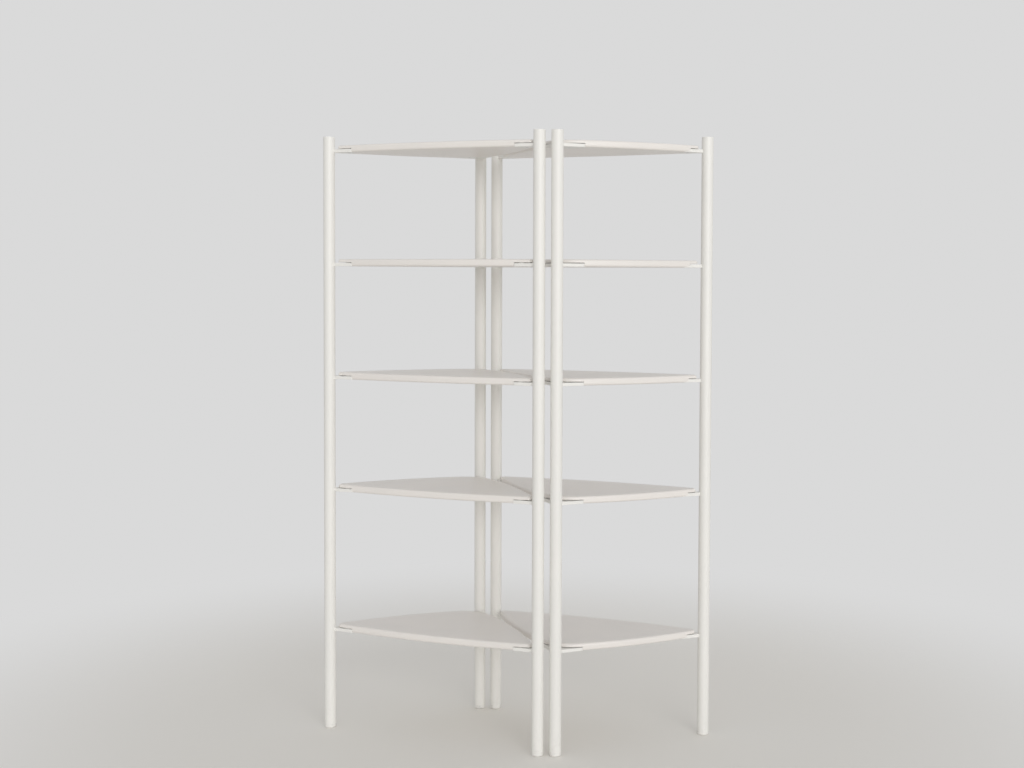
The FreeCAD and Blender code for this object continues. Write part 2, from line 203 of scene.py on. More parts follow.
def turned(radii: np.ndarray, heights: np.ndarray, closed: bool = False) -> Surface:
    """A surface round the vertical axis, given by its radius at each height and angle.

    The point at row i and angle a is (radius(i, a) cos a, radius(i, a) sin a, height(i)). An open
    surface is closed by a flat fan to one pole at each end.

    Args:
        radii: the radius on each row, at evenly spaced angles.
        heights: each row's height, climbing the outside.
        closed: whether the last row joins the first, as on a tube.

    Returns:
        The closed surface.
    """
    rows, sides = radii.shape
    angle = np.linspace(0, 2 * np.pi, sides, endpoint=False)
    level = np.broadcast_to(heights[:, None], radii.shape)
    points = np.stack([radii * np.cos(angle), radii * np.sin(angle), level], axis=-1).reshape(-1, 3)
    faces = grid_faces(rows, sides, closed).tolist()
    if closed:
        return Surface(points, faces)
    around = np.arange(sides)
    following = (around + 1) % sides
    low_pole = np.full(sides, len(points))
    last = (rows - 1) * sides
    faces += np.stack([low_pole, following, around], axis=-1).tolist()
    faces += np.stack([low_pole + 1, last + around, last + following], axis=-1).tolist()
    poles = np.array([[0, 0, heights[0]], [0, 0, heights[-1]]])
    return Surface(np.concatenate([points, poles]), faces)


def revolved(profile: np.ndarray, sides: int, closed: bool = False) -> Surface:
    """A profile of (radius, height) points, climbing the outside, turned once round the vertical axis."""
    return turned(np.repeat(profile[:, :1], sides, axis=1), profile[:, 1], closed)


def capped(grid: np.ndarray) -> Surface:
    """Joins the points of a grid by quads, with one face at each end.

    Args:
        grid: rows of points that run round and close, climbing the outside.

    Returns:
        The closed surface.
    """
    rows, columns = grid.shape[:2]
    ring = np.arange(columns)
    ends = [ring[::-1].tolist(), (ring + (rows - 1) * columns).tolist()]
    return Surface(grid.reshape(-1, 3), grid_faces(rows, columns).tolist() + ends)


def stacked(rings: np.ndarray, heights: np.ndarray) -> Surface:
    """Outlines one above the other: the point at row i and place s is (x(i, s), y(i, s), height(i))."""
    level = np.broadcast_to(heights[:, None, None], (*rings.shape[:2], 1))
    return capped(np.concatenate([rings, level], axis=-1))


def arc(centre: np.ndarray, radius: float, start: float, end: float, steps: int) -> np.ndarray:
    """An arc but for its last point: centre plus radius times the unit vector at each angle in radians."""
    angle = np.linspace(start, end, steps, endpoint=False)
    return centre + radius * np.stack([np.cos(angle), np.sin(angle)], axis=-1)


def bearing(start: np.ndarray, end: np.ndarray) -> float:
    """The angle of the line from one point to another, in radians."""
    return math.atan2(end[1] - start[1], end[0] - start[0])


def carved(master: Mesh, cutters: list[Mesh]) -> Mesh:
    """Cuts solids out of a mesh.

    Args:
        master: the mesh to cut.
        cutters: closed meshes in the same frame.

    Returns:
        A new mesh, the master less every cutter.
    """
    blank = bpy.data.objects.new("blank", master)
    tools = [bpy.data.objects.new("tool", cutter) for cutter in cutters]
    for tool in tools:
        cut = blank.modifiers.new("cut", "BOOLEAN")
        cut.operation = "DIFFERENCE"
        cut.solver = "EXACT"
        cut.object = tool
    for thing in (blank, *tools):
        link(thing)
    graph = bpy.context.evaluated_depsgraph_get()
    made = bpy.data.meshes.new_from_object(blank.evaluated_get(graph))
    for thing in (blank, *tools):
        bpy.data.objects.remove(thing)
    return made


def smoothed(mesh: Mesh) -> Mesh:
    """Shades a mesh smooth up to its sharp edges, and marks its rounded edges.

    The mark at a point whose normal climbs by the angle w is the square of sin 2w: 0 on level
    and upright faces, and 1 halfway round an edge.

    Args:
        mesh: the mesh, upright.

    Returns:
        The same mesh.
    """
    mesh.polygons.foreach_set("use_smooth", np.ones(len(mesh.polygons), bool))
    mesh.set_sharp_from_angle(angle=SHARP_ANGLE)
    normals = np.zeros(len(mesh.vertices) * 3, np.float32)
    mesh.vertex_normals.foreach_get("vector", normals)
    climb = normals.reshape(-1, 3)[:, 2]
    mark = 4 * climb ** 2 * (1 - climb ** 2)
    attribute = mesh.attributes.new(EDGE_ATTRIBUTE, "FLOAT", "POINT")
    attribute.data.foreach_set("value", np.clip(mark, 0, 1).astype(np.float32))
    return mesh


# Shader nodes
NUMBER = "NodeSocketFloat"
VECTOR = "NodeSocketVector"
COLOUR = "NodeSocketColor"
WHOLE = (0.0, 1.0)
CLOUD_ROUGHNESS = 0.5


@dataclass
class NodeWriter:
    """Adds nodes to one node tree."""

    tree: NodeTree

    def fill(self, node: Node, inputs: dict) -> None:
        """Sets a node's inputs.

        Args:
            node: the node.
            inputs: a value, or another node's output, for each named or numbered input.
        """
        for key, value in inputs.items():
            if isinstance(value, NodeSocket):
                self.tree.links.new(value, node.inputs[key])
            else:
                node.inputs[key].default_value = value

    def node(self, kind: str, inputs: dict | None = None, **settings: object) -> Node:
        """Adds a node.

        Args:
            kind: the node's type.
            inputs: its inputs, as fill takes them.
            settings: the node's own properties.

        Returns:
            The node.
        """
        made = self.tree.nodes.new(kind)
        for name, value in settings.items():
            setattr(made, name, value)
        self.fill(made, inputs or {})
        return made

    def math(self, operation: str, first: object, second: object) -> NodeSocket:
        """A sum, product or the like of two values or outputs."""
        return self.node("ShaderNodeMath", {0: first, 1: second}, operation=operation).outputs[0]

    def blend(self, factor: object, first: object, second: object) -> NodeSocket:
        """A mix of two colours by a factor."""
        mix = self.node("ShaderNodeMix", {0: factor, 6: first, 7: second}, data_type="RGBA")
        return mix.outputs[2]

    def ramp(self, value: object, source: Point, target: Point = WHOLE) -> NodeSocket:
        """A value carried smoothly from one range to another, and held at the ends."""
        ranges = dict(zip(("From Min", "From Max", "To Min", "To Max"), source + target))
        ranged = self.node(
            "ShaderNodeMapRange", {"Value": value} | ranges, interpolation_type="SMOOTHSTEP")
        return ranged.outputs["Result"]


class GroupWriter(NodeWriter):
    """Writes one shader node group, whose inputs begin with a place and the size of its cells."""

    def __init__(self, name: str, inputs: dict[str, str], outputs: dict[str, str]) -> None:
        """Makes the group.

        Args:
            name: the group's name.
            inputs: the type of each further input socket, by its name.
            outputs: the type of each output socket, by its name.
        """
        super().__init__(bpy.data.node_groups.new(name, "ShaderNodeTree"))
        inputs = {"Place": VECTOR, "Cell": NUMBER} | inputs
        for direction, sockets in (("INPUT", inputs), ("OUTPUT", outputs)):
            for label, kind in sockets.items():
                self.tree.interface.new_socket(label, in_out=direction, socket_type=kind)
        self.given = self.tree.nodes.new("NodeGroupInput").outputs
        self.result = self.tree.nodes.new("NodeGroupOutput").inputs

    def cloud(self, detail: float, share: float = 1.0) -> NodeSocket:
        """A cloudy value with cells a share as large as the group's, which is given in metres."""
        cell = self.math("MULTIPLY", self.given["Cell"], share)
        scale = {0: self.given["Place"], "Scale": self.math("DIVIDE", 1.0, cell)}
        place = self.node("ShaderNodeVectorMath", scale, operation="SCALE").outputs[0]
        values = {"Vector": place, "Scale": 1.0, "Detail": detail, "Roughness": CLOUD_ROUGHNESS}
        return self.node("ShaderNodeTexNoise", values).outputs[0]

    def give(self, name: str, value: NodeSocket) -> None:
        """Leads a value to one of the group's outputs."""
        self.tree.links.new(value, self.result[name])


class Effects:
    """Effects that several finishes share, each a node group that is built once."""

    FINE_SHARE = 0.23
    FINE_WEIGHT = 0.3
    BROAD_DETAIL = 1.0
    FINE_DETAIL = 2.0
    DRIFT_DETAIL = 4.0
    DRIFT_BAND = (0.32, 0.68)
    RUB_AND_SHEEN_DETAIL = 3.0
    RUB_AND_SHEEN_BAND = (0.35, 0.7)
    RUB_AND_SHEEN_RANGE = (0.25, 1.0)
    SCUFF_DETAIL = 5.0
    SCUFF_BAND = (0.48, 0.72)

    def __init__(self) -> None:
        """Builds the groups."""
        self.peel = self._peel()
        self.drift = self._drift()
        self.rub_and_sheen = self._rub_and_sheen()
        self.scuff = self._scuff()

    def _peel(self) -> NodeTree:
        """The low pillows of a sprayed coat, with finer ones on them, as a height."""
        group = GroupWriter("sprayed_peel", {}, {"Height": NUMBER})
        fine = group.cloud(self.FINE_DETAIL, self.FINE_SHARE)
        weighted = group.math("MULTIPLY", fine, self.FINE_WEIGHT)
        group.give("Height", group.math("ADD", group.cloud(self.BROAD_DETAIL), weighted))
        return group.tree

    def _drift(self) -> NodeTree:
        """A slow drift between two near colours, as between thin and full coats."""
        group = GroupWriter(
            "tint_drift", {"Base": COLOUR, "Drift": COLOUR}, {"Colour": COLOUR, "Share": NUMBER})
        share = group.ramp(group.cloud(self.DRIFT_DETAIL), self.DRIFT_BAND)
        group.give("Colour", group.blend(share, group.given["Base"], group.given["Drift"]))
        group.give("Share", share)
        return group.tree

    def _rub_and_sheen(self) -> NodeTree:
        """Where hands and cloths have polished the rounded edges, as a broken mask; the coats use it both
        for lower roughness and for a painted sheen, a lighter colour on those edges.
        """
        group = GroupWriter("edge_rub", {"Edge": NUMBER, "Amount": NUMBER}, {"Mask": NUMBER})
        broken = group.ramp(group.cloud(self.RUB_AND_SHEEN_DETAIL), self.RUB_AND_SHEEN_BAND, self.RUB_AND_SHEEN_RANGE)
        edge = group.math("MULTIPLY", group.given["Edge"], broken)
        group.give("Mask", group.math("MULTIPLY", edge, group.given["Amount"]))
        return group.tree

    def _scuff(self) -> NodeTree:
        """Faint marks close to the floor, fading upwards over a given height."""
        group = GroupWriter("floor_scuff", {"Reach": NUMBER, "Amount": NUMBER}, {"Mask": NUMBER})
        height = group.node("ShaderNodeSeparateXYZ", {0: group.given["Place"]}).outputs["Z"]
        share = group.math("DIVIDE", height, group.given["Reach"])
        near_floor = group.ramp(share, WHOLE, WHOLE[::-1])
        marks = group.ramp(group.cloud(self.SCUFF_DETAIL), self.SCUFF_BAND)
        faded = group.math("MULTIPLY", near_floor, marks)
        group.give("Mask", group.math("MULTIPLY", faded, group.given["Amount"]))
        return group.tree


class MaterialWriter(NodeWriter):
    """Writes one material round a Principled shader."""

    def __init__(self, name: str) -> None:
        """Makes an empty material with its shader, its output and its Object coordinates.

        Args:
            name: the material's name.
        """
        self.material = bpy.data.materials.new(name)
        self.material.use_nodes = True
        super().__init__(self.material.node_tree)
        self.tree.nodes.clear()
        self.shader = self.node("ShaderNodeBsdfPrincipled")
        self.output = self.node("ShaderNodeOutputMaterial", {"Surface": self.shader.outputs[0]})
        self.place = self.node("ShaderNodeTexCoord").outputs["Object"]

    def effect(self, group: NodeTree, inputs: dict) -> NodeOutputs:
        """Places one of the shared effects with this material's own values, and gives its outputs."""
        return self.node("ShaderNodeGroup", {"Place": self.place} | inputs, node_tree=group).outputs


def opaque(colour: Colour) -> tuple[float, float, float, float]:
    """A colour with full alpha, as sockets take it."""
    return (*colour, 1.0)


# Finishes
@dataclass(frozen=True)
class Coat:
    """A finish that is ready to use: its material, and the record's slot for it."""

    material: Material
    slot: Slot


@dataclass(frozen=True)
class SprayedCoat:
    """A satin sprayed coat: powder on steel, or lacquer on a panel."""

    name: str
    slot: Slot
    colour: Colour
    drift_colour: Colour
    # painted sheen: a lighter colour laid on the rounded edges
    painted_sheen_colour: Colour
    scuff_colour: Colour
    drift_cell: float
    peel_cell: float
    peel_depth: float
    roughness: float
    roughness_spread: float
    rub_gloss: float
    rub_and_sheen_amount: float
    scuff_amount: float
    rub_and_sheen_cell: float = 9 * MM
    scuff_cell: float = 14 * MM
    scuff_reach: float = 90 * MM
    bump_strength: float = 0.5
    peel_range: Point = (0.3, 1.0)
    refraction: float = 1.5

    def coat(self, effects: Effects) -> Coat:
        """Writes the material.

        Args:
            effects: the shared node groups.

        Returns:
            The finish with its slot.
        """
        nodes = MaterialWriter(self.name)
        height = nodes.effect(effects.peel, {"Cell": self.peel_cell})["Height"]
        tint = nodes.effect(effects.drift, {
            "Cell": self.drift_cell, "Base": opaque(self.colour), "Drift": opaque(self.drift_colour)})
        edge = nodes.node("ShaderNodeAttribute", attribute_name=EDGE_ATTRIBUTE).outputs["Fac"]
        rub_and_sheen = nodes.effect(effects.rub_and_sheen, {
            "Edge": edge, "Cell": self.rub_and_sheen_cell, "Amount": self.rub_and_sheen_amount})["Mask"]
        scuff = nodes.effect(effects.scuff, {
            "Reach": self.scuff_reach, "Cell": self.scuff_cell, "Amount": self.scuff_amount})["Mask"]
        # Painted sheen: the rounded edges take the lighter colour wherever the mask is.
        with_painted_sheen = nodes.blend(rub_and_sheen, tint["Colour"], opaque(self.painted_sheen_colour))
        scuffed = nodes.blend(scuff, with_painted_sheen, opaque(self.scuff_colour))
        spread = self.roughness_spread
        grain = nodes.ramp(height, self.peel_range, (self.roughness - spread, self.roughness + spread))
        polished = nodes.math("SUBTRACT", grain, nodes.math("MULTIPLY", rub_and_sheen, self.rub_gloss))
        bump = nodes.node("ShaderNodeBump", {
            "Strength": self.bump_strength, "Distance": self.peel_depth, "Height": height})
        nodes.fill(nodes.shader, {
            "Base Color": scuffed, "Roughness": polished, "IOR": self.refraction,
            "Normal": bump.outputs[0]})
        return Coat(nodes.material, self.slot)


@dataclass(frozen=True)
class ZincPlate:
    """Bright zinc plate on steel hardware."""

    name: str = "zinc_plate"
    slot: Slot = Slot.HARDWARE
    colour: Colour = (0.66, 0.67, 0.69)
    drift_colour: Colour = (0.58, 0.585, 0.57)
    drift_cell: float = 5 * MM
    grain_cell: float = 0.7 * MM
    grain_depth: float = 0.02 * MM
    bump_strength: float = 0.4
    roughness: Point = (0.26, 0.44)

    def coat(self, effects: Effects) -> Coat:
        """Writes the material.

        Args:
            effects: the shared node groups.

        Returns:
            The finish with its slot.
        """
        nodes = MaterialWriter(self.name)
        tint = nodes.effect(effects.drift, {
            "Cell": self.drift_cell, "Base": opaque(self.colour), "Drift": opaque(self.drift_colour)})
        height = nodes.effect(effects.peel, {"Cell": self.grain_cell})["Height"]
        rough = nodes.ramp(tint["Share"], WHOLE, self.roughness)
        bump = nodes.node("ShaderNodeBump", {
            "Strength": self.bump_strength, "Distance": self.grain_depth, "Height": height})
        nodes.fill(nodes.shader, {
            "Base Color": tint["Colour"], "Metallic": 1.0, "Roughness": rough, "Normal": bump.outputs[0]})
        return Coat(nodes.material, self.slot)


# Each coat's edge colour is a little lighter than its own: a painted sheen on the rounded edges.
POST_COAT = SprayedCoat(
    name="satin_powder_coat", slot=Slot.POSTS,
    colour=(0.875, 0.862, 0.825), drift_colour=(0.855, 0.845, 0.81),
    painted_sheen_colour=(0.89, 0.88, 0.85), scuff_colour=(0.64, 0.62, 0.58),
    drift_cell=0.22, peel_cell=2.6 * MM, peel_depth=0.05 * MM,
    roughness=0.42, roughness_spread=0.07, rub_gloss=0.12, rub_and_sheen_amount=0.5, scuff_amount=0.25)

FOOT_COAT = SprayedCoat(
    name="foot_powder_coat", slot=Slot.FEET,
    colour=(0.86, 0.845, 0.81), drift_colour=(0.835, 0.825, 0.79),
    painted_sheen_colour=(0.88, 0.87, 0.84), scuff_colour=(0.58, 0.56, 0.53),
    drift_cell=0.05, peel_cell=2.2 * MM, peel_depth=0.05 * MM,
    roughness=0.46, roughness_spread=0.08, rub_gloss=0.10, rub_and_sheen_amount=0.6, scuff_amount=0.45)

SHELF_LACQUER = SprayedCoat(
    name="satin_lacquer", slot=Slot.SHELVES,
    colour=(0.85, 0.812, 0.772), drift_colour=(0.83, 0.796, 0.758),
    painted_sheen_colour=(0.87, 0.835, 0.80), scuff_colour=(0.64, 0.62, 0.59),
    drift_cell=0.17, peel_cell=5.5 * MM, peel_depth=0.04 * MM,
    roughness=0.38, roughness_spread=0.05, rub_gloss=0.10, rub_and_sheen_amount=0.4, scuff_amount=0.0)


# Places and sizes that the pieces share
@dataclass(frozen=True)
class BracketShape:
    """A bracket's plan, with its post's axis at the origin and its middle line along +X."""

    reach: float
    side: float
    flare: float
    end_round: float = 4 * MM
    line_steps: int = 14
    round_steps: int = 14
    end_steps: int = 28
    hollow_steps: int = 28

    def ring(self, hollow: float, grown: float = 0.0) -> np.ndarray:
        """Two straight flared sides, a round end about the post and a hollow against it.

        A side, turned by the flare in degrees, lies at a distance d from the post's axis. Its end
        round, of radius e, has its centre at d - e from the line through the axis along that side,
        and at reach - e from the axis.

        Args:
            hollow: the hollow's radius.
            grown: how much larger the outline is than the bracket, but for the hollow.

        Returns:
            The outline's points, anticlockwise.
        """
        offset = self.side + grown
        end_round = self.end_round + grown
        flare = math.radians(self.flare)
        along = np.array([math.cos(flare), math.sin(flare)])
        across = np.array([-math.sin(flare), math.cos(flare)])
        near = across * offset + along * math.sqrt(hollow ** 2 - offset ** 2)
        inner = offset - end_round
        centre = across * inner + along * math.sqrt((self.reach - self.end_round) ** 2 - inner ** 2)
        far = centre + across * end_round
        mirror = np.array([1.0, -1.0])
        axis = np.zeros(2)
        turn, start = bearing(axis, centre), bearing(axis, near)
        side = math.pi / 2 + flare
        share = np.linspace(0, 1, self.line_steps, endpoint=False)[:, None]
        return np.concatenate([
            (near + (far - near) * share) * mirror,
            arc(centre * mirror, end_round, -side, -turn, self.round_steps),
            arc(axis, self.reach + grown, -turn, turn, self.end_steps),
            arc(centre, end_round, turn, side, self.round_steps),
            far + (near - far) * share,
            arc(axis, hollow, start, -start, self.hollow_steps),
        ])


ACUTE_BRACKET = BracketShape(reach=81 * MM, side=2.5 * MM, flare=22.5)
SQUARE_BRACKET = BracketShape(reach=87 * MM, side=7 * MM, flare=45.0)


class Corner(Enum):
    """A unit's corners: the post's place in leg lengths, and its bracket's bearing in degrees and shape."""

    SQUARE = ((0.0, 0.0), 225.0, SQUARE_BRACKET)
    WEST = ((-1.0, 0.0), -22.5, ACUTE_BRACKET)
    SOUTH = ((0.0, -1.0), 112.5, ACUTE_BRACKET)

    def __init__(self, place: Point, bearing: float, bracket: BracketShape) -> None:
        """Names the corner's values."""
        self.place = place
        self.bearing = bearing
        self.bracket = bracket


class Unit(Enum):
    """The two units: the turn that each stands at, in degrees, and the corner at each of its posts."""

    LEFT = (0.0, {"rear": Corner.SQUARE, "outer": Corner.WEST, "front": Corner.SOUTH})
    RIGHT = (180.0, {"front": Corner.SQUARE, "outer": Corner.WEST, "rear": Corner.SOUTH})

    def __init__(self, turn: float, posts: dict[str, Corner]) -> None:
        """Names the unit's values, and its label in the frame's nodes."""
        self.turn = turn
        self.posts = posts
        self.label = self.name.lower()


@dataclass(frozen=True)
class PairPlan:
    """Places and sizes that every piece takes from the frame, in metres."""

    posts: dict[tuple[Unit, str], Point]
    post_radius: float
    leg: float
    height: float
    foot_height: float
    stud_top: float
    cap_thickness: float
    shelf_heights: list[float]
    shelf_thickness: float
    rebate_depth: float

    @classmethod
    def from_frame(cls) -> "PairPlan":
        """Reads the plan from the record's mounts and the nodes' boxes."""
        mounts = {mount["name"]: mount["pos_m"] for mount in frame["record"]["mounts"]}
        posts = {
            (unit, place): tuple(mounts[f"{unit.label}_{place}_foot_base"][:2])
            for unit in Unit for place in unit.posts}
        outer = posts[Unit.RIGHT, "outer"]
        square = posts[Unit.RIGHT, "front"]
        shelf_low, shelf_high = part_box("shelf_left_1")
        bracket_low, bracket_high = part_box("bracket_left_outer_1")
        cap_low, cap_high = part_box("cap_left_outer")
        thickness = shelf_high.z - shelf_low.z
        levels = sorted(z for name, (_, _, z) in mounts.items() if name.startswith("left_shelf"))
        return cls(
            posts=posts,
            post_radius=CAD_BOX[1].x - outer[0],
            leg=outer[0] - square[0],
            height=CAD_BOX[1].z,
            foot_height=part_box("post_left_outer")[0].z,
            stud_top=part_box("foot_left_outer")[1].z,
            cap_thickness=cap_high.z - cap_low.z,
            shelf_heights=[level - thickness for level in levels],
            shelf_thickness=thickness,
            rebate_depth=bracket_high.z - bracket_low.z,
        )

    def post_place(self, unit: Unit, place: str, height: float = 0.0, turn: float = 0.0) -> Matrix:
        """A place on a post's axis, turned about it by an angle in degrees."""
        x, y = self.posts[unit, place]
        return Matrix.Translation((x, y, height)) @ Matrix.Rotation(math.radians(turn), 4, "Z")

    def shelf_place(self, unit: Unit, height: float) -> Matrix:
        """A place at a unit's right-angled corner, turned as the unit stands."""
        square = next(place for place, corner in unit.posts.items() if corner is Corner.SQUARE)
        return self.post_place(unit, square, height, unit.turn)


# Sub-assemblies
@dataclass
class Assembly:
    """Pieces that are made alike and share a finish."""

    plan: PairPlan
    coat: Coat

    def add(self, name: str, mesh: Mesh, body: str, *nodes: str) -> None:
        """Makes a mesh a finished piece that moves with a body.

        Args:
            name: the piece's name.
            mesh: the mesh, in its place.
            body: the body that the piece rides on.
            nodes: the frame's nodes that the piece stands for.
        """
        mesh.name = name
        mesh.materials.clear()
        mesh.materials.append(self.coat.material)
        piece = bpy.data.objects.new(name, mesh)
        link(piece)
        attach(piece, body)
        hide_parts(*nodes)
        log.info("%s: %d faces, on %s", name, len(mesh.polygons), body)

    @staticmethod
    def copy(master: Mesh, place: Matrix) -> Mesh:
        """A copy of a master mesh, set down in its place."""
        mesh = master.copy()
        mesh.transform(place)
        return mesh


@dataclass
class PostSet(Assembly):
    """Six round tube posts, each closed on top by a flush disc."""

    wall: float = 2 * MM
    edge_round: float = 0.5 * MM
    cap_gap: float = 0.05 * MM
    support: float = 2 * MM
    arc_steps: int = 6
    sides: int = 96

    def tube(self) -> Surface:
        """A post: the tube wall's rounded section turned round the axis."""
        outer = self.plan.post_radius
        inner = outer - self.wall
        low, high = self.plan.foot_height, self.plan.height
        corners = [(outer, low), (outer, high), (inner, high), (inner, low)]
        section = rounded(corners, [self.edge_round] * 4, self.arc_steps, self.edge_round / 4)
        ends = np.array([[outer, low + self.support], [outer, high - self.support]])
        after_first_corner = self.arc_steps + 3
        section = np.insert(section, after_first_corner, ends, axis=0)
        return revolved(section, self.sides, closed=True)

    def cap(self) -> Surface:
        """A cap: a disc with rounded rims, level with the post's end."""
        radius = self.plan.post_radius - self.wall - self.cap_gap
        low, high = self.plan.height - self.plan.cap_thickness, self.plan.height
        flat = radius - 2 * self.support
        corners = [(flat, low), (radius, low), (radius, high), (flat, high)]
        rounds = [0, self.edge_round, self.edge_round, 0]
        return revolved(rounded(corners, rounds, self.arc_steps, self.edge_round), self.sides)

    def build(self) -> None:
        """Stands a tube and a cap at each post's place."""
        tube = smoothed(self.tube().mesh("tube"))
        cap = smoothed(self.cap().mesh("cap"))
        for unit, place in self.plan.posts:
            name = f"{unit.label}_{place}"
            stand = self.plan.post_place(unit, place)
            self.add(f"tube_{name}", self.copy(tube, stand), FRAME_BODY, f"post_{name}")
            self.add(f"top_disc_{name}", self.copy(cap, stand), FRAME_BODY, f"cap_{name}")


@dataclass
class FootSet(Assembly):
    """Six levelling feet: a round pad as wide as the post, on a threaded stud."""

    zinc: Coat
    chamfer: float = 2.5 * MM
    seam: float = 0.8 * MM
    edge_round: float = 0.35 * MM
    arc_steps: int = 4
    sides: int = 96
    stud_radius: float = 5 * MM
    thread_pitch: float = 1.5 * MM
    thread_depth: float = 0.75 * MM
    thread_gain: float = 1.25
    stud_lead: float = 1.2 * MM
    thread_rows: int = 8
    thread_sides: int = 40

    def pad(self) -> Surface:
        """A pad: chamfered below, with a fine bevel above that leaves a seam under the post."""
        radius, high = self.plan.post_radius, self.plan.foot_height
        flat = radius - 3 * self.chamfer
        corners = [
            (flat, 0), (radius - self.chamfer, 0), (radius, self.chamfer),
            (radius, high - self.seam), (radius - self.seam, high), (flat, high)]
        rounds = [0] + [self.edge_round] * 4 + [0]
        return revolved(rounded(corners, rounds, self.arc_steps, self.edge_round / 2), self.sides)

    def stud(self) -> Surface:
        """A stud: the radius swings between root and crest with height less one pitch per turn.

        With x the fraction of (height / pitch - angle / full turn), the thread's share is
        1 - |2x - 1|, stretched about a half by a gain and held between 0 and 1. A cone cuts the tip.
        """
        low, high = self.plan.foot_height, self.plan.stud_top
        rows = int((high - low) / self.thread_pitch * self.thread_rows)
        heights = np.linspace(low, high, rows + 1)
        turn = np.linspace(0, 1, self.thread_sides, endpoint=False)
        phase = (heights[:, None] / self.thread_pitch - turn[None]) % 1
        stretched = self.thread_gain * (1 - np.abs(2 * phase - 1)) - (self.thread_gain - 1) / 2
        share = np.clip(stretched, 0, 1)
        radii = self.stud_radius - self.thread_depth * (1 - share)
        tip = self.stud_radius - self.stud_lead + (high - heights[:, None])
        return turned(np.minimum(radii, tip), heights)

    def build(self) -> None:
        """Sets a pad and its stud under each post, on the foot's own body."""
        pad = smoothed(self.pad().mesh("pad"))
        stud = smoothed(self.stud().mesh("stud"))
        threads = Assembly(self.plan, self.zinc)
        for unit, place in self.plan.posts:
            name = f"{unit.label}_{place}"
            body = f"foot_{name}"
            stand = self.plan.post_place(unit, place)
            self.add(f"foot_pad_{name}", self.copy(pad, stand), body, f"foot_{name}")
            threads.add(f"foot_stud_{name}", self.copy(stud, stand), body)


